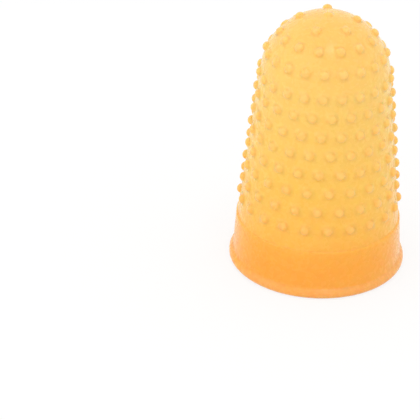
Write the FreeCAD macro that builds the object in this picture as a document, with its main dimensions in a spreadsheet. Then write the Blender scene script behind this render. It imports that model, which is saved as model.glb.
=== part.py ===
import FreeCAD, Part
import math
import os
import Sketcher

# Rubber finger tip: a soft cap for a finger or thumb, worn to grip and count paper.
# The real one is moulded in one piece: a thin tapering wall closed by a dome, a thicker
# band with a flared, rounded lip round the mouth, and rows of small pips on the outside.
# The origin is the middle of the mouth, +Z points to the closed end, -Y is the front,
# and all lengths are in millimetres.

os.makedirs("parts", exist_ok=True)
doc = FreeCAD.newDocument("rubber_finger_tip")

# Driving dimensions
sizes = doc.addObject("Spreadsheet::Sheet", "sizes")
DRIVING = (
    # the cap: length to the top of the dome, outer radii of the dome and of the wall's foot
    ("cap_length", 32.73),
    ("dome_radius", 7.75),
    ("wall_foot_radius", 9.82),
    ("wall_thickness", 0.8),
    # the band round the mouth: how far its top stands out of the wall, and its sloping ledge
    ("band_height", 6.2),
    ("band_step", 0.18),
    ("band_draft", 3.6),
    ("band_ledge", 0.25),
    # the lip: how far it stands out of the band, its width across the rubber, its rounded
    # bead, the hollow curve that flares into it, and the bevel inside the mouth
    ("lip_overhang", 0.376),
    ("lip_width", 1.4),
    ("lip_rounding", 0.7),
    ("lip_flare", 2.0),
    ("mouth_bevel", 0.3),
    # one pip: radius at its root, height above the wall, draft of its sides
    ("pip_radius", 0.56),
    ("pip_height", 0.62),
    ("pip_draft", 14),
    # the staggered rows on the wall
    ("first_row_height", 8.81),
    ("row_pitch", 2.363),
    ("pips_in_row", 22),
    # the rings on the dome, by angle above its equator
    ("low_ring_angle", 24.5),
    ("low_ring_pips", 20),
    ("high_ring_angle", 44.3),
    ("high_ring_pips", 14),
    ("high_ring_turn", -8),
    ("crown_ring_angle", 63.7),
)
for line, (alias, number) in enumerate(DRIVING, start=1):
    sizes.set(f"A{line}", alias)
    sizes.set(f"B{line}", str(number))
    sizes.setAlias(f"B{line}", alias)

# Dimensions that follow from the driving ones
derived = doc.addObject("Spreadsheet::Sheet", "derived")
FOLLOWING = (
    ("dome_centre", "=sizes.cap_length - sizes.dome_radius"),
    ("wall_rise", "=derived.dome_centre - sizes.band_height"),
    # the wall leaves the band's top edge and meets the dome without a corner
    (
        "taper",
        "=atan(sizes.wall_foot_radius / derived.wall_rise)"
        " - asin(sizes.dome_radius / hypot(sizes.wall_foot_radius; derived.wall_rise))",
    ),
    ("wall_end_height", "=derived.dome_centre + sizes.dome_radius * sin(derived.taper)"),
    ("inner_dome_radius", "=sizes.dome_radius - sizes.wall_thickness"),
    ("band_top_radius", "=sizes.wall_foot_radius + sizes.band_step"),
    ("band_side_height", "=sizes.band_height - sizes.band_ledge"),
    (
        "lip_radius",
        "=derived.band_top_radius + derived.band_side_height * tan(sizes.band_draft * 1deg)"
        " + sizes.lip_overhang",
    ),
    ("lip_centre_radius", "=derived.lip_radius - sizes.lip_rounding"),
    ("mouth_radius", "=derived.lip_radius - sizes.lip_width"),
    # each pip is rooted half-way into the wall
    ("pip_root", "=sizes.wall_thickness / 2"),
)
for line, (alias, formula) in enumerate(FOLLOWING, start=1):
    derived.set(f"A{line}", alias)
    derived.set(f"B{line}", formula.replace("derived.", ""))
    derived.setAlias(f"B{line}", alias)
doc.recompute()


def number(expression):
    """The value of an expression on the two sheets, as a plain number."""
    value = sizes.evalExpression(expression)
    return float(getattr(value, "Value", value))


def origin_plane(body, role):
    """A body's own origin plane, by its role."""
    return next(plane for plane in body.Origin.OriginFeatures if plane.Role == role)


def dimension(sketch, name, kind, where, expression, unit=1.0):
    """A named sketch dimension bound to an expression on the sheets."""
    index = sketch.addConstraint(Sketcher.Constraint(kind, *where, number(expression) * unit))
    sketch.renameConstraint(index, name)
    sketch.setExpression(f"Constraints.{name}", expression)


# The wall
# Half of the cap's section, drawn to the right of the axis and turned once round it.
ROOT = (-1, 1)
H_AXIS, V_AXIS = range(-1, -3, -1)
START, END, CENTRE = range(1, 4)


def point(radius, height):
    """A point of the section: distance from the axis, height above the mouth."""
    return FreeCAD.Vector(radius, height, 0)


def arc(centre, radius, first_angle, last_angle):
    """An arc of the section, anticlockwise between two angles in radians."""
    circle = Part.Circle(centre, FreeCAD.Vector(0, 0, 1), radius)
    return Part.ArcOfCircle(circle, first_angle, last_angle)


def section_outline():
    """The section's lines and arcs, from the flat of the lip round to the mouth's bevel."""
    taper = math.radians(number("derived.taper"))
    thickness = number("sizes.wall_thickness")
    dome_radius = number("sizes.dome_radius")
    dome_centre = point(0, number("derived.dome_centre"))
    apex = point(0, number("sizes.cap_length"))
    band_height = number("sizes.band_height")
    wall_foot = point(number("sizes.wall_foot_radius"), band_height)
    band_corner = point(number("derived.band_top_radius"), number("derived.band_side_height"))
    bead = number("sizes.lip_rounding")
    flare = number("sizes.lip_flare")
    lip_centre = point(number("derived.lip_centre_radius"), bead)
    mouth_bevel = number("sizes.mouth_bevel")
    mouth = point(number("derived.mouth_radius"), mouth_bevel)

    # the flare's centre keeps its own radius from the band's side and touches the bead
    draft = math.radians(number("sizes.band_draft"))
    outward = point(math.cos(draft), math.sin(draft))
    down = point(math.sin(draft), -math.cos(draft))
    reach = band_corner + outward * flare - lip_centre
    half = reach.dot(down)
    drop = -half - math.sqrt(half**2 - reach.dot(reach) + (bead + flare) ** 2)
    flare_centre = band_corner + outward * flare + down * drop
    band_foot = band_corner + down * drop
    touch = math.atan2(flare_centre.y - lip_centre.y, flare_centre.x - lip_centre.x)

    normal = point(math.cos(taper), math.sin(taper))
    wall_end = dome_centre + normal * dome_radius
    inner_end = dome_centre + normal * (dome_radius - thickness)
    inner_foot = point(wall_foot.x - thickness / math.cos(taper), band_height)
    flat_start = point(mouth.x + mouth_bevel, 0)
    flat_end = point(lip_centre.x, 0)
    return (
        Part.LineSegment(flat_start, flat_end),
        arc(lip_centre, bead, -math.pi / 2, touch),
        arc(flare_centre, flare, math.pi + draft, math.pi + touch),
        Part.LineSegment(band_foot, band_corner),
        Part.LineSegment(band_corner, wall_foot),
        Part.LineSegment(wall_foot, wall_end),
        arc(dome_centre, dome_radius, taper, math.pi / 2),
        Part.LineSegment(apex, apex - point(0, thickness)),
        arc(dome_centre, dome_radius - thickness, taper, math.pi / 2),
        Part.LineSegment(inner_end, inner_foot),
        Part.LineSegment(inner_foot, mouth),
        Part.LineSegment(mouth, flat_start),
    )


FLAT, BEAD, FLARE, BAND, LEDGE, WALL, DOME, TOP, INNER_DOME, INNER_WALL, MOUTH, BEVEL = range(12)


def draw_section(sketch):
    """The section with its corners joined, its tangencies and its dimensions."""
    sketch.addGeometry(list(section_outline()), False)
    joints = (
        ("Tangent", FLAT, END, BEAD, START),
        ("Tangent", BEAD, END, FLARE, END),
        ("Tangent", FLARE, START, BAND, START),
        ("Coincident", BAND, END, LEDGE, START),
        ("Coincident", LEDGE, END, WALL, START),
        ("Tangent", WALL, END, DOME, START),
        ("Coincident", DOME, END, TOP, START),
        ("Coincident", TOP, END, INNER_DOME, END),
        ("Tangent", INNER_DOME, START, INNER_WALL, START),
        ("Coincident", INNER_WALL, END, MOUTH, START),
        ("Coincident", MOUTH, END, BEVEL, START),
        ("Coincident", BEVEL, END, FLAT, START),
        ("PointOnObject", FLAT, START, H_AXIS),
        ("Horizontal", FLAT),
        ("PointOnObject", DOME, CENTRE, V_AXIS),
        ("PointOnObject", DOME, END, V_AXIS),
        ("PointOnObject", INNER_DOME, END, V_AXIS),
        ("Coincident", DOME, CENTRE, INNER_DOME, CENTRE),
        ("Horizontal", WALL, START, INNER_WALL, END),
    )
    for kind, *where in joints:
        sketch.addConstraint(Sketcher.Constraint(kind, *where))
    dimension(sketch, "lip_centre", "DistanceX", (*ROOT, BEAD, CENTRE), "derived.lip_centre_radius")
    dimension(sketch, "lip_rounding", "Radius", (BEAD,), "sizes.lip_rounding")
    dimension(sketch, "lip_flare", "Radius", (FLARE,), "sizes.lip_flare")
    dimension(sketch, "band_top", "DistanceX", (*ROOT, BAND, END), "derived.band_top_radius")
    dimension(sketch, "band_side", "DistanceY", (*ROOT, BAND, END), "derived.band_side_height")
    draft = "90deg + sizes.band_draft * 1deg"
    dimension(sketch, "band_draft", "Angle", (BAND,), draft, math.radians(1))
    dimension(sketch, "wall_foot", "DistanceX", (*ROOT, WALL, START), "sizes.wall_foot_radius")
    dimension(sketch, "band_height", "DistanceY", (*ROOT, WALL, START), "sizes.band_height")
    dimension(sketch, "dome_radius", "Radius", (DOME,), "sizes.dome_radius")
    dimension(sketch, "cap_length", "DistanceY", (*ROOT, DOME, END), "sizes.cap_length")
    dimension(sketch, "inner_dome", "Radius", (INNER_DOME,), "derived.inner_dome_radius")
    dimension(sketch, "mouth_radius", "DistanceX", (*ROOT, MOUTH, END), "derived.mouth_radius")
    dimension(sketch, "bevel_height", "DistanceY", (*ROOT, MOUTH, END), "sizes.mouth_bevel")
    dimension(sketch, "bevel_width", "DistanceX", (MOUTH, END, FLAT, START), "sizes.mouth_bevel")


wall_body = doc.addObject("PartDesign::Body", "wall_body")
section = wall_body.newObject("Sketcher::SketchObject", "section")
section.AttachmentSupport = (origin_plane(wall_body, "XZ_Plane"), [""])
section.MapMode = "FlatFace"
draw_section(section)
wall = wall_body.newObject("PartDesign::Revolution", "wall")
wall.Profile = section
wall.ReferenceAxis = (section, ["V_Axis"])
wall.Angle = 360
wall_body.Tip = wall
doc.recompute()

# The pips
# Each is a small stub that stands square to the surface and narrows towards its end. The
# real ones are round; here six flats stand for the round side.
PIP_SIDES = 6
FRONT = -90
FULL_TURN = 360


def pip_outline(radius, height):
    """The pip's corners at one height above the wall, and the first one again."""
    corners = [FreeCAD.Vector(radius, 0, height)]
    for corner in range(PIP_SIDES):
        turned = FreeCAD.Rotation(FULL_TURN / PIP_SIDES, 0, 0).multVec(corners[-1])
        corners.append(turned)
    return corners[:-1] + corners[:1]


def stub():
    """One pip upon the XY plane, with its root below it."""
    radius = number("sizes.pip_radius")
    slope = math.tan(math.radians(number("sizes.pip_draft")))
    root = number("derived.pip_root")
    height = number("sizes.pip_height")
    below = pip_outline(radius + root * slope, -root)
    above = pip_outline(radius - height * slope, height)
    faces = [Part.Face(Part.makePolygon(below[::-1])), Part.Face(Part.makePolygon(above))]
    for side in range(PIP_SIDES):
        corners = below[side : side + 2] + above[side : side + 2][::-1]
        faces.append(Part.Face(Part.makePolygon(corners + corners[:1])))
    return Part.makeSolid(Part.makeShell(faces))


def stand(pip, radius, height, lean, turn):
    """A copy of a pip on the surface: its foot's distance from the axis and height, how far the
    surface faces above level, and its turn from the front, both in degrees."""
    upright = FreeCAD.Placement(point(0, 0), FreeCAD.Rotation(0, 90 - lean, 0))
    outwards = FreeCAD.Placement(FreeCAD.Vector(radius, 0, height), FreeCAD.Rotation())
    round_axis = FreeCAD.Placement(point(0, 0), FreeCAD.Rotation(FRONT + turn, 0, 0))
    copy = pip.copy()
    copy.Placement = round_axis * outwards * upright
    return copy


def ring(pip, radius, height, lean, turn, count):
    """Copies of a pip evenly round the axis, the first at a turn from the front."""
    turns = [turn + FULL_TURN * place / count for place in range(count)]
    return [stand(pip, radius, height, lean, turned) for turned in turns]


def wall_rows(pip):
    """Rows that fill the wall, every second one half a pitch round from the one below."""
    taper = number("derived.taper")
    count = int(number("sizes.pips_in_row"))
    first, pitch = number("sizes.first_row_height"), number("sizes.row_pitch")
    clear = number("derived.wall_end_height") - first
    pips = []
    for row in range(int(clear / pitch) + 1):
        height = first + row * pitch
        climb = height - number("sizes.band_height")
        radius = number("sizes.wall_foot_radius") - climb * math.tan(math.radians(taper))
        turn = FULL_TURN / count / 2 if row % 2 == 0 else 0
        pips += ring(pip, radius, height, taper, turn, count)
    return pips


def dome_ring(pip, angle, turn, count):
    """A ring of pips on the dome at an angle above its equator."""
    radius = number("sizes.dome_radius")
    lean = math.radians(angle)
    height = number("derived.dome_centre") + radius * math.sin(lean)
    return ring(pip, radius * math.cos(lean), height, angle, turn, count)


# Five pips stand unevenly round the crown, at these turns from the front, and one on its top.
CROWN_TURNS = (-22, 40, 100, 183, -103)


def all_pips():
    """Every pip of the finger tip."""
    pip = stub()
    low = (number("sizes.low_ring_angle"), 0, int(number("sizes.low_ring_pips")))
    high_turn = number("sizes.high_ring_turn")
    high = (number("sizes.high_ring_angle"), high_turn, int(number("sizes.high_ring_pips")))
    pips = wall_rows(pip) + dome_ring(pip, *low) + dome_ring(pip, *high)
    for turn in CROWN_TURNS:
        pips += dome_ring(pip, number("sizes.crown_ring_angle"), turn, 1)
    return pips + dome_ring(pip, 90, 0, 1)


pips = doc.addObject("Part::Feature", "pips")
pips.Shape = Part.makeCompound(all_pips())

# The whole cap is one moulding, so the pips and the wall are one solid.
finger_tip = doc.addObject("Part::Fuse", "finger_tip")
finger_tip.Label = "finger_tip"
finger_tip.Base = wall_body
finger_tip.Tool = pips
finger_tip.Refine = False
doc.recompute()

# Every object has to be sound before its shape is written.
for item in doc.Objects:
    if {"Invalid", "Error"} & set(item.State):
        raise RuntimeError(f"{item.Name} failed: {item.State}")
shape = finger_tip.Shape
if shape.isNull() or not shape.isValid() or len(shape.Solids) != 1:
    raise RuntimeError("finger_tip is not one sound solid")
shape.exportStep(f"parts/{finger_tip.Label}.step")
print(f"finger_tip: {len(shape.Faces)} faces, {shape.Volume:.1f} cubic mm")
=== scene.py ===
import math

import bpy
import numpy as np
from mathutils import Matrix, Vector


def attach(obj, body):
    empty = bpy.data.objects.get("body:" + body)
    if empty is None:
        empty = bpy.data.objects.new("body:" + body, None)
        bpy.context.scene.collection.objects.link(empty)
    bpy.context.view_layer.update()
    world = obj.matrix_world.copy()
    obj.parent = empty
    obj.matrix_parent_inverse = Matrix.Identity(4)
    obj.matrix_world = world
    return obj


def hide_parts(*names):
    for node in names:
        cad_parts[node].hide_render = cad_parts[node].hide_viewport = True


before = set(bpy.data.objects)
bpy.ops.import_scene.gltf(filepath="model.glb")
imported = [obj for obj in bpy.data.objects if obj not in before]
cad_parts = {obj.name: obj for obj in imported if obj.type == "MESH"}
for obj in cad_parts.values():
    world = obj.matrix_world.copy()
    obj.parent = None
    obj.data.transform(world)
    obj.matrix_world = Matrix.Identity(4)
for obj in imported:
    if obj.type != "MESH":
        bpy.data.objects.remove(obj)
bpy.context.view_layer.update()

# The finger tip
# A soft cap of thin amber rubber, moulded in one piece on a smooth former: a tapering wall with a
# domed end, rows of small pips that grip paper, and a thicker band with a flared, rounded lip.
MM = 0.001
FULL_TURN = 360

# the wall: heights from the mouth and distances from the axis, all in millimetres; it leans so
# that it meets the dome without a corner. WALL_LENGTH and POLE are measured along the outer face,
# from the wall's foot to where the dome starts and to the dome's top.
CAP_LENGTH = 32.73
DOME_RADIUS = 7.75
FOOT_RADIUS = 9.82
THICKNESS = 0.8
BAND_HEIGHT = 6.2
DOME_CENTRE = CAP_LENGTH - DOME_RADIUS
WALL_RISE = DOME_CENTRE - BAND_HEIGHT
TAPER = math.atan(FOOT_RADIUS / WALL_RISE) - math.asin(
    DOME_RADIUS / math.hypot(FOOT_RADIUS, WALL_RISE)
)
WALL_LENGTH = (WALL_RISE + DOME_RADIUS * math.sin(TAPER)) / math.cos(TAPER)
POLE = WALL_LENGTH + DOME_RADIUS * (math.pi / 2 - TAPER)


def climb_at(height):
    """How far up the wall's slope a height is, in millimetres from the wall's foot."""
    return (height - BAND_HEIGHT) / math.cos(TAPER)


def climb_on_dome(angle):
    """The same for a place on the dome, given by its angle above the dome's equator."""
    return WALL_LENGTH + DOME_RADIUS * (np.radians(angle) - TAPER)


def outer_face(climb, stand_off=0.0):
    """Radius and height of the outer face: a straight slope up to the dome's tangent, then an
    arc round the dome's centre; stand_off moves the point out along the face's normal."""
    lean = TAPER + np.maximum(climb - WALL_LENGTH, 0) / DOME_RADIUS
    on_slope = np.minimum(climb, WALL_LENGTH) - WALL_LENGTH
    radius = (DOME_RADIUS + stand_off) * np.cos(lean) - on_slope * math.sin(TAPER)
    height = DOME_CENTRE + (DOME_RADIUS + stand_off) * np.sin(lean) + on_slope * math.cos(TAPER)
    return radius, height


# the pips: staggered rows on the wall, two rings on the dome, five uneven ones round the crown
# and one on the top; the top one is shallower, and so are the two rings' pips past REAR_TURN
PIP_RADIUS, PIP_HEIGHT = 0.58, 0.5
REAR_PIP_SHARE, TOP_PIP_SHARE = 0.45, 0.55
REAR_TURN = 106
FIRST_ROW, ROW_PITCH, WALL_ROWS, PIPS_IN_ROW = 8.81, 2.363, 8, 22
LOW_RING_ANGLE, LOW_RING_TURN, LOW_RING_PIPS = 24.5, 0, 20
HIGH_RING_ANGLE, HIGH_RING_TURN, HIGH_RING_PIPS = 44.3, -8, 14
CROWN_ANGLE, CROWN_TURNS = 63.7, np.array([-22, 40, 100, 183, -103])

# the mesh: its columns round the axis, its rows from a pip's middle to the edge of the pip's
# patch, the patch's half height in millimetres and half its columns, and the plain rows' spacing;
# TINY stands in for zero where a value is divided by it
COLUMNS = PIPS_IN_ROW * 12
PIP_STEPS = 5
WALL_PATCH, LOW_PATCH, HIGH_PATCH, CROWN_PATCH = (0.95, 5), (0.95, 6), (0.9, 8), (0.9, 12)
TOP_PATCH = 0.95
PLAIN_SPACING = 0.24
TINY = 1e-9


def even_turns(first, count):
    """Turns in degrees of pips set evenly round the axis."""
    return first + FULL_TURN / count * np.arange(count)


def wall_row(row):
    """One row on the wall: its place, the patch of mesh round each pip, each pip's turn, and its
    share of the full pip height. Every second row is half a pitch round."""
    turns = even_turns((1 - row % 2) * FULL_TURN / PIPS_IN_ROW / 2, PIPS_IN_ROW)
    return climb_at(FIRST_ROW + ROW_PITCH * row), WALL_PATCH, turns, np.ones(PIPS_IN_ROW)


def dome_ring(angle, patch, turns, rear_share=1.0):
    """The same for a ring on the dome, where the pips behind its sides may be shallower."""
    at_rear = np.cos(np.radians(turns)) < math.cos(math.radians(REAR_TURN))
    return climb_on_dome(angle), patch, turns, np.where(at_rear, rear_share, 1.0)


LOW_TURNS = even_turns(LOW_RING_TURN, LOW_RING_PIPS)
HIGH_TURNS = even_turns(HIGH_RING_TURN, HIGH_RING_PIPS)
PIP_RINGS = [wall_row(row) for row in range(WALL_ROWS)] + [
    dome_ring(LOW_RING_ANGLE, LOW_PATCH, LOW_TURNS, REAR_PIP_SHARE),
    dome_ring(HIGH_RING_ANGLE, HIGH_PATCH, HIGH_TURNS, REAR_PIP_SHARE),
    dome_ring(CROWN_ANGLE, CROWN_PATCH, CROWN_TURNS),
]


def pip_section(reach):
    """Distance from a pip's middle line and height above the wall, for reach from 0 at its top to
    1 at its foot: a quarter of an ellipse."""
    swing = np.clip(reach, 0, 1) * math.pi / 2
    return PIP_RADIUS * np.sin(swing), PIP_HEIGHT * np.cos(swing)


def plain_rows(first, last):
    """Even rows of the mesh across a plain stretch of the wall, without its first one."""
    return np.linspace(first, last, max(1, round((last - first) / PLAIN_SPACING)) + 1)[1:]


def mesh_rows():
    """Places up the wall of the mesh's rows: even ones across each ring of pips, and a few plain
    ones between; gives them with the index of each ring's middle row."""
    rows, middles = [np.zeros(1)], []
    for climb, (half_height, _), *_ in PIP_RINGS:
        low, high = climb - half_height, climb + half_height
        rows.append(plain_rows(rows[-1][-1], low))
        middles.append(sum(map(len, rows)) + PIP_STEPS - 1)
        rows.append(np.linspace(low, high, 2 * PIP_STEPS + 1)[1:])
    rows.append(plain_rows(rows[-1][-1], POLE - TOP_PATCH))
    return np.concatenate(rows), middles


def square_to_disc(a, b):
    """Direction of a point (a, b) of a square when the square is bent into a disc: a point keeps
    its ring, max(|a|, |b|), and its share of that ring's side becomes its share of a quarter turn."""
    wide = np.abs(b) >= np.abs(a)
    share = np.where(wide, a / np.where(b == 0, 1, b), b / np.where(a == 0, 1, a)) * math.pi / 4
    along = np.where(wide, np.cos(share) * np.sign(b), np.sin(share) * np.sign(a))
    upward = np.where(wide, np.sin(share) * np.sign(b), np.cos(share) * np.sign(a))
    return along, upward


def raise_ring(ring, middle, climb, turn, raised):
    """Bend the grid round every pip of one ring: inside the pip's foot its points follow the
    section in circles, and from there out they run straight to the edge of the patch."""
    ring_climb, (half_height, half_columns), turns, shares = ring
    columns = np.rint(turns * COLUMNS / FULL_TURN)

    # the patch's columns: how far each is from the nearest pip, the short way round
    offset = (np.arange(COLUMNS) - columns[:, None] + COLUMNS / 2) % COLUMNS - COLUMNS / 2
    nearest = np.abs(offset).argmin(axis=0)
    across = offset[nearest, np.arange(COLUMNS)] / half_columns
    inside = np.flatnonzero(np.abs(across) <= 1)
    pip = nearest[inside]

    # the patch as a square from -1 to 1 each way, of which the pip's foot takes all but one step
    steps = np.arange(-PIP_STEPS, PIP_STEPS + 1)
    a, b = np.meshgrid(steps / PIP_STEPS, across[inside], indexing="ij")
    size = np.maximum(np.maximum(np.abs(a), np.abs(b)), TINY)
    foot = (PIP_STEPS - 1) / PIP_STEPS
    blend = np.clip((size - foot) / (1 - foot), 0, 1)
    out, up = pip_section(size / foot)
    along, upward = square_to_disc(a, b)
    edge_climb = ring_climb + a / size * half_height
    edge_turn = (columns[pip] + b / size * half_columns) * FULL_TURN / COLUMNS
    disc_climb = ring_climb + out * upward
    disc_turn = turns[pip] + np.degrees(out * along / outer_face(disc_climb)[0])
    at = np.ix_(middle + steps, inside)
    climb[at] = disc_climb * (1 - blend) + edge_climb * blend
    turn[at] = disc_turn * (1 - blend) + edge_turn * blend
    raised[at] = up * shares[pip]


def all_round(values):
    """One value for each row of the mesh, the same in every column."""
    return np.repeat(values[:, None], COLUMNS, axis=1)


def pipped_face():
    """Radius, height and turn of the outer face, and how far it is raised, from the wall's foot to
    the pip on its top, as grids of rows and columns."""
    rows, middles = mesh_rows()
    turn = np.repeat(FULL_TURN / COLUMNS * np.arange(COLUMNS)[None, :], len(rows), axis=0)
    climb = all_round(rows)
    raised = np.zeros_like(climb)
    for ring, middle in zip(PIP_RINGS, middles):
        raise_ring(ring, middle, climb, turn, raised)
    out, up = pip_section(np.arange(PIP_STEPS - 1, 0, -1) / (PIP_STEPS - 1))
    climb = np.concatenate([climb, all_round(POLE - out)])
    turn = np.concatenate([turn, np.repeat(turn[:1], len(out), axis=0)])
    raised = np.concatenate([raised, all_round(up * TOP_PIP_SHARE)])
    radius, height = outer_face(climb, raised)
    return radius, height, turn, raised


# the band and its lip: a small rounded step, a side that slopes out, a hollow flare, a shoulder
# and a rounded rim, then a bevel inside the mouth; BAND_DEPTH is the rubber's at the side's foot
BAND_STEP, BAND_LEDGE, BAND_DRAFT, BAND_DEPTH = 0.18, 0.15, math.radians(3.6), 1.2
LIP_OVERHANG, LIP_WIDTH, LIP_SHOULDER, LIP_ROUNDING, LIP_FLARE = 0.367, 1.4, 0.85, 0.57, 0.3
MOUTH_BEVEL = 0.3

# the mesh's rows down each stretch of that section, and up the inside
STEP_ROWS, SIDE_ROWS, FLARE_ROWS, SHOULDER_ROWS, RIM_ROWS, BEVEL_ROWS = 6, 8, 6, 7, 7, 4
THROAT_ROWS, INNER_WALL_ROWS, INNER_DOME_ROWS = 4, 8, 12


def straight(first, last, steps):
    """Points of a straight stretch of the section, without its first one."""
    return first + np.linspace(0, 1, steps + 1)[1:, None] * (np.array(last) - first)


def curved(centre, radius, first, last, steps):
    """Points of an arc of the section between two angles in radians, without its first one."""
    swing = np.linspace(first, last, steps + 1)[1:]
    return np.stack([centre[0] + radius * np.cos(swing), centre[1] + radius * np.sin(swing)], axis=1)


def lip_section():
    """Radius and height from the wall's foot down the band, round the lip and up the inside to
    the middle of the dome, with the rubber's depth at each point."""
    band_top = FOOT_RADIUS + BAND_STEP
    band_side = BAND_HEIGHT - BAND_LEDGE
    lip_radius = band_top + band_side * math.tan(BAND_DRAFT) + LIP_OVERHANG

    # the band's step, an S from the wall's face out to its own
    share = np.linspace(0, 1, STEP_ROWS + 1)[1:]
    ledge = np.stack([
        FOOT_RADIUS + BAND_STEP * share**2 * (3 - 2 * share), BAND_HEIGHT - BAND_LEDGE * share
    ], axis=1)

    # the flare's centre lies its own radius off the band's side, and its arc meets the shoulder's
    corner = np.array([band_top, band_side])
    outward = np.array([math.cos(BAND_DRAFT), math.sin(BAND_DRAFT)])
    down = np.array([math.sin(BAND_DRAFT), -math.cos(BAND_DRAFT)])
    shoulder_centre = np.array([lip_radius - LIP_SHOULDER, LIP_ROUNDING])
    gap = corner + outward * LIP_FLARE - shoulder_centre
    drop = -gap @ down - math.sqrt((gap @ down) ** 2 - gap @ gap + (LIP_SHOULDER + LIP_FLARE) ** 2)
    flare_centre = corner + outward * LIP_FLARE + down * drop
    touch = math.atan2(*(flare_centre - shoulder_centre)[::-1])
    side = straight(corner, corner + down * drop, SIDE_ROWS)
    flare = curved(flare_centre, LIP_FLARE, math.pi + BAND_DRAFT, math.pi + touch, FLARE_ROWS)

    # the lip: its shoulder, its rim, the flat that the cap stands on, and the mouth's bevel
    mouth = lip_radius - LIP_WIDTH
    shoulder = curved(shoulder_centre, LIP_SHOULDER, touch, 0, SHOULDER_ROWS)
    rim_centre = (lip_radius - LIP_ROUNDING, LIP_ROUNDING)
    rim = curved(rim_centre, LIP_ROUNDING, 0, -math.pi / 2, RIM_ROWS)
    bevel_centre = (mouth + MOUTH_BEVEL, MOUTH_BEVEL)
    flat = straight(rim[-1], (mouth + MOUTH_BEVEL, 0), 1)
    bevel = curved(bevel_centre, MOUTH_BEVEL, -math.pi / 2, -math.pi, BEVEL_ROWS)
    lip = np.concatenate([shoulder, rim, flat, bevel])

    # the inside
    inner_dome = DOME_RADIUS - THICKNESS
    inner_foot = (FOOT_RADIUS - THICKNESS / math.cos(TAPER), BAND_HEIGHT)
    inner_end = (inner_dome * math.cos(TAPER), DOME_CENTRE + inner_dome * math.sin(TAPER))
    throat = straight(lip[-1], inner_foot, THROAT_ROWS)
    wall = straight(throat[-1], inner_end, INNER_WALL_ROWS)
    dome = curved((0, DOME_CENTRE), inner_dome, TAPER, math.pi / 2, INNER_DOME_ROWS)[:-1]

    points = np.concatenate([ledge, side, flare, lip, throat, wall, dome])
    depth = np.concatenate([
        THICKNESS + ledge[:, 0] - FOOT_RADIUS,
        np.linspace(THICKNESS + BAND_STEP, BAND_DEPTH, len(side)),
        np.linspace(BAND_DEPTH, LIP_WIDTH, len(flare)),
        np.full(len(lip), LIP_WIDTH),
        np.linspace(LIP_WIDTH, THICKNESS, len(throat)),
        np.full(len(wall) + len(dome), THICKNESS),
    ])
    return points[:, 0], points[:, 1], depth


def moulded_cap():
    """The whole skin as one closed grid turned round the axis, from the pip on the top down the
    outside, round the lip and up the inside; one point closes each pole."""
    radius, height, turn, raised = (grid[::-1] for grid in pipped_face())
    rim_radius, rim_height, rim_depth = (all_round(values) for values in lip_section())
    rim_turn = np.repeat(turn[-1:], len(rim_radius), axis=0)
    radius = np.concatenate([radius, rim_radius])
    height = np.concatenate([height, rim_height])
    turn = np.radians(np.concatenate([turn, rim_turn]))
    skin = np.stack([radius * np.sin(turn), -radius * np.cos(turn), height], axis=-1)
    top_pip = PIP_HEIGHT * TOP_PIP_SHARE
    poles = [[0, 0, CAP_LENGTH + top_pip], [0, 0, CAP_LENGTH - THICKNESS]]
    points = np.concatenate([skin.reshape(-1, 3), poles]) * MM

    # what the rubber's colour depends on: the rubber's depth, and how far up a pip a point is, which
    # sets the painted highlight on the pips' tops
    depth = np.concatenate([raised.ravel() + THICKNESS, rim_depth.ravel(), [THICKNESS, THICKNESS]])
    pip_rise = np.concatenate([raised.ravel(), np.zeros(rim_depth.size), [top_pip, 0]]) / PIP_HEIGHT

    index = np.arange(radius.size).reshape(radius.shape)
    beside = np.roll(index, -1, axis=1)
    quads = np.stack([index[:-1], index[1:], beside[1:], beside[:-1]], axis=-1).reshape(-1, 4)
    top, bottom = radius.size, radius.size + 1
    top_fan = np.stack([np.full(COLUMNS, top), index[0], beside[0]], axis=1)
    inner_fan = np.stack([np.full(COLUMNS, bottom), beside[-1], index[-1]], axis=1)
    mesh = bpy.data.meshes.new("rubber_cap")
    mesh.from_pydata(points.tolist(), [], quads.tolist() + top_fan.tolist() + inner_fan.tolist())
    for name, values in (("rubber_depth", depth), ("pip_rise", pip_rise)):
        attribute = mesh.attributes.new(name, "FLOAT", "POINT")
        attribute.data.foreach_set("value", values.astype(np.float32))
    mesh.shade_smooth()
    mesh.validate()
    return mesh


class Link:
    """One output of a material's node tree. Arithmetic on it adds Math nodes."""

    def __init__(self, tree, socket=None):
        self.tree, self.socket = tree, socket

    def node(self, kind, settings=None, sockets=None, output=0):
        """Add a node: its settings come first, then each socket gets its value or link. Sockets
        and the output go by name, or by number where names repeat."""
        made = self.tree.nodes.new(kind)
        for name, value in (settings or {}).items():
            if name == "stops":
                ramp = made.color_ramp.elements
                for _ in value[2:]:
                    ramp.new(1)
                for stop, (place, colour) in zip(ramp, value):
                    stop.position, stop.color = place, (*colour, 1)
            else:
                setattr(made, name, value)
        for name, value in (sockets or {}).items():
            if isinstance(value, Link):
                self.tree.links.new(value.socket, made.inputs[name])
            else:
                made.inputs[name].default_value = value
        return Link(self.tree, made.outputs[output])

    def sibling(self, name):
        """Another output of the same node."""
        return Link(self.tree, self.socket.node.outputs[name])

    def maths(self, operation, first, second):
        """A Math node that works out one operation."""
        return self.node("ShaderNodeMath", {"operation": operation}, {0: first, 1: second})

    def __add__(self, other):
        return self.maths("ADD", self, other)

    def __sub__(self, other):
        return self.maths("SUBTRACT", self, other)

    def __rsub__(self, other):
        return self.maths("SUBTRACT", other, self)

    def __mul__(self, other):
        return self.maths("MULTIPLY", self, other)

    __radd__, __rmul__ = __add__, __mul__


def new_material(name):
    """An empty material, its link to start nodes from, and its output node."""
    material = bpy.data.materials.new(name)
    material.use_nodes = True
    tree = material.node_tree
    tree.nodes.clear()
    return material, Link(tree), tree.nodes.new("ShaderNodeOutputMaterial")


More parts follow.
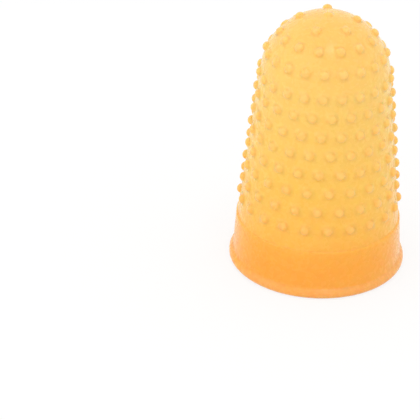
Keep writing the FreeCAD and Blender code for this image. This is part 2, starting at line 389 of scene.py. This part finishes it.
def linear(red, green, blue):
    """A colour as the eye names it, 0 to 255, turned into the shader's linear scale."""
    share = np.array([red, green, blue]) / 255
    return tuple(np.where(share <= 0.04045, share / 12.92, ((share + 0.055) / 1.055) ** 2.4).tolist())


# the rubber's shades, from the dome's top down to the band and the lip, by their strength; the
# strength falls with height, by SHADE_FALL a metre, and grows with the rubber's depth; the last,
# paler stop over the lip is a painted highlight on the lip's bead
RUBBER_SHADES_AND_LIP_HIGHLIGHT = (
    (0.05, (255, 195, 98)), (0.2, (255, 204, 110)), (0.4, (255, 197, 90)), (0.5, (255, 188, 80)),
    (0.545, (252, 176, 64)), (0.61, (250, 170, 57)), (0.655, (248, 173, 64)), (0.68, (239, 173, 88)),
)
# the pale pink that the pips fade to towards their tops, by the given share of the way: a painted
# highlight on each pip
PIP_HIGHLIGHT, PIP_HIGHLIGHT_SHARE = (252, 193, 114), 0.6
SHADE_AT_MOUTH, SHADE_FALL, SHADE_OF_DEPTH = 0.62, 17, 0.12
CLOUD_SCALE, CLOUD_SPREAD = 140.0, 0.08
FLECK_SCALE, FLECK_HEIGHT = 1500.0, 0.00004
ROUGHNESS, ROUGHNESS_SPREAD = 0.27, 0.15
NOISE_MIDDLE = 0.5

# a Mix node's colour sockets
MIX_FACTOR, MIX_FIRST, MIX_SECOND, MIX_RESULT = 0, 6, 7, 2


def amber_rubber():
    """Soft translucent rubber: a pale yellow amber high up, turning a deeper orange down the band and
    a little deeper where it is thicker; the paler lip and the pale pips' tops are painted highlights.
    """
    material, start, output = new_material("amber_rubber")
    place = start.node("ShaderNodeTexCoord", output="Object")
    height = start.node("ShaderNodeSeparateXYZ", None, {"Vector": place}, output="Z")
    depth = start.node("ShaderNodeAttribute", {"attribute_name": "rubber_depth"}, output="Fac")
    pip_highlight_mask = start.node("ShaderNodeAttribute", {"attribute_name": "pip_rise"}, output="Fac")
    cloud = start.node("ShaderNodeTexNoise", None, {
        "Vector": place, "Scale": CLOUD_SCALE, "Detail": 3.0
    })
    fleck = start.node("ShaderNodeTexNoise", None, {
        "Vector": place, "Scale": FLECK_SCALE, "Detail": 2.0
    })
    from_place = SHADE_AT_MOUTH - height * SHADE_FALL + (depth - THICKNESS) * SHADE_OF_DEPTH
    strength = from_place + (cloud - NOISE_MIDDLE) * CLOUD_SPREAD
    stops = [(stop, linear(*shade)) for stop, shade in RUBBER_SHADES_AND_LIP_HIGHLIGHT]
    # the ramp's last, paler stop colours the lip: a painted highlight on its bead
    wall = start.node("ShaderNodeValToRGB", {"stops": stops}, {"Fac": strength})
    # the pips fade to a pale pink towards their tops: a painted highlight
    colour = start.node("ShaderNodeMix", {"data_type": "RGBA"}, {
        MIX_FACTOR: pip_highlight_mask * PIP_HIGHLIGHT_SHARE, MIX_FIRST: wall, MIX_SECOND: (*linear(*PIP_HIGHLIGHT), 1)
    }, output=MIX_RESULT)
    roughness = (fleck - NOISE_MIDDLE) * ROUGHNESS_SPREAD + ROUGHNESS
    bump = start.node("ShaderNodeBump", None, {
        "Strength": 0.15, "Distance": FLECK_HEIGHT, "Height": fleck
    })
    rubber = start.node("ShaderNodeBsdfPrincipled", {"subsurface_method": "RANDOM_WALK"}, {
        "Base Color": colour, "Roughness": roughness, "Normal": bump,
        "Subsurface Weight": 1.0, "Subsurface Radius": (1.0, 0.7, 0.45),
        "Subsurface Scale": 0.0004, "IOR": 1.5, "Specular IOR Level": 0.5,
        "Sheen Weight": 0.3, "Sheen Roughness": 0.3, "Sheen Tint": (1.0, 0.9, 0.8, 1.0),
    })
    start.tree.links.new(rubber.socket, output.inputs["Surface"])
    return material


cap = bpy.data.objects.new("rubber_cap", moulded_cap())
bpy.context.scene.collection.objects.link(cap)
cap.data.materials.append(amber_rubber())
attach(cap, "root")
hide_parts("finger_tip")

# The table
# A plain table top, painted matt white, that runs out of sight in every direction.
FLOOR_HALF_WIDTH = 3.0
PAINT, GLOW_SHARE = (0.9, 0.9, 0.9, 1), 0.8
WHITE = (1, 1, 1, 1)


def white_table():
    """Matt white that looks fully white to the camera and still darkens a little in shadow."""
    material, start, output = new_material("white_table")
    seen = start.node("ShaderNodeLightPath", output="Is Camera Ray")
    seen_in_rubber = seen.sibling("Is Glossy Ray")
    seen_through_rubber = seen.sibling("Is Transmission Ray")
    matt = start.node("ShaderNodeBsdfDiffuse", None, {"Color": PAINT})
    white = start.node("ShaderNodeEmission", None, {"Color": WHITE, "Strength": 1.0})
    both = start.node("ShaderNodeMixShader", None, {
        "Fac": (seen + seen_in_rubber + seen_through_rubber) * GLOW_SHARE, 1: matt, 2: white
    })
    start.tree.links.new(both.socket, output.inputs["Surface"])
    return material


floor_mesh = bpy.data.meshes.new("table_top")
corners = np.array([[-1, -1, 0], [1, -1, 0], [1, 1, 0], [-1, 1, 0]]) * FLOOR_HALF_WIDTH
floor_mesh.from_pydata(corners.tolist(), [], [(0, 1, 2, 3)])
floor = bpy.data.objects.new("table_top", floor_mesh)
bpy.context.scene.collection.objects.link(floor)
floor.data.materials.append(white_table())

# Light
# A bright, even room, a broad soft lamp in front on the left, and a small one high in front, a
# little to the right. The camera and the rubber's gloss see the room as plain white.
ROOM_STRENGTH = 1.05
LAMP_AIM = Vector((0, 0, 0.016))

world = bpy.data.worlds.new("white_room")
bpy.context.scene.world = world
world.use_nodes = True
world.node_tree.nodes.clear()
room = Link(world.node_tree)
seen = room.node("ShaderNodeLightPath", output="Is Camera Ray")
room_light = room.node("ShaderNodeBackground", None, {"Color": WHITE, "Strength": ROOM_STRENGTH})
room_white = room.node("ShaderNodeBackground", None, {"Color": WHITE, "Strength": 1.0})
shown = room.node("ShaderNodeMixShader", None, {
    "Fac": seen + seen.sibling("Is Glossy Ray"), 1: room_light, 2: room_white
})
world_output = world.node_tree.nodes.new("ShaderNodeOutputWorld")
world.node_tree.links.new(shown.socket, world_output.inputs["Surface"])


def softbox(name, place, size, power):
    """A square area lamp that faces the middle of the finger tip; lengths in metres."""
    lamp = bpy.data.lights.new(name, "AREA")
    lamp.size, lamp.energy = size, power
    holder = bpy.data.objects.new(name, lamp)
    facing = (LAMP_AIM - Vector(place)).to_track_quat("-Z", "Y").to_matrix().to_4x4()
    holder.matrix_world = Matrix.Translation(place) @ facing
    bpy.context.scene.collection.objects.link(holder)


softbox("left_softbox", (-0.5, -0.38, 0.3), size=0.8, power=0.7)
softbox("top_lamp", (0.1, -0.2, 0.56), size=0.12, power=0.26)

# Camera
# Where the photographer stood: about 30 cm away with a long lens, looking down at the cap's front
# with the cap to the right of the middle of the frame.
FOCAL_LENGTH, FILM_WIDTH = 205.714, 36
CAMERA_PLACE = Vector((2.376, -255.863, 151.841)) * MM
LOOK_DOWN, ROLL, SWING = np.radians([29.7279, 1.521, 3.498])

lens = bpy.data.cameras.new("camera")
lens.lens, lens.sensor_width = FOCAL_LENGTH, FILM_WIDTH
lens.clip_start, lens.clip_end = 0.01, 20
camera = bpy.data.objects.new("camera", lens)
bpy.context.scene.collection.objects.link(camera)
camera.matrix_world = (
    Matrix.Translation(CAMERA_PLACE)
    @ Matrix.Rotation(SWING, 4, "Z")
    @ Matrix.Rotation(math.pi / 2 - LOOK_DOWN, 4, "X")
    @ Matrix.Rotation(ROLL, 4, "Z")
)
bpy.context.scene.camera = camera
bpy.context.scene.view_settings.view_transform = "Standard"
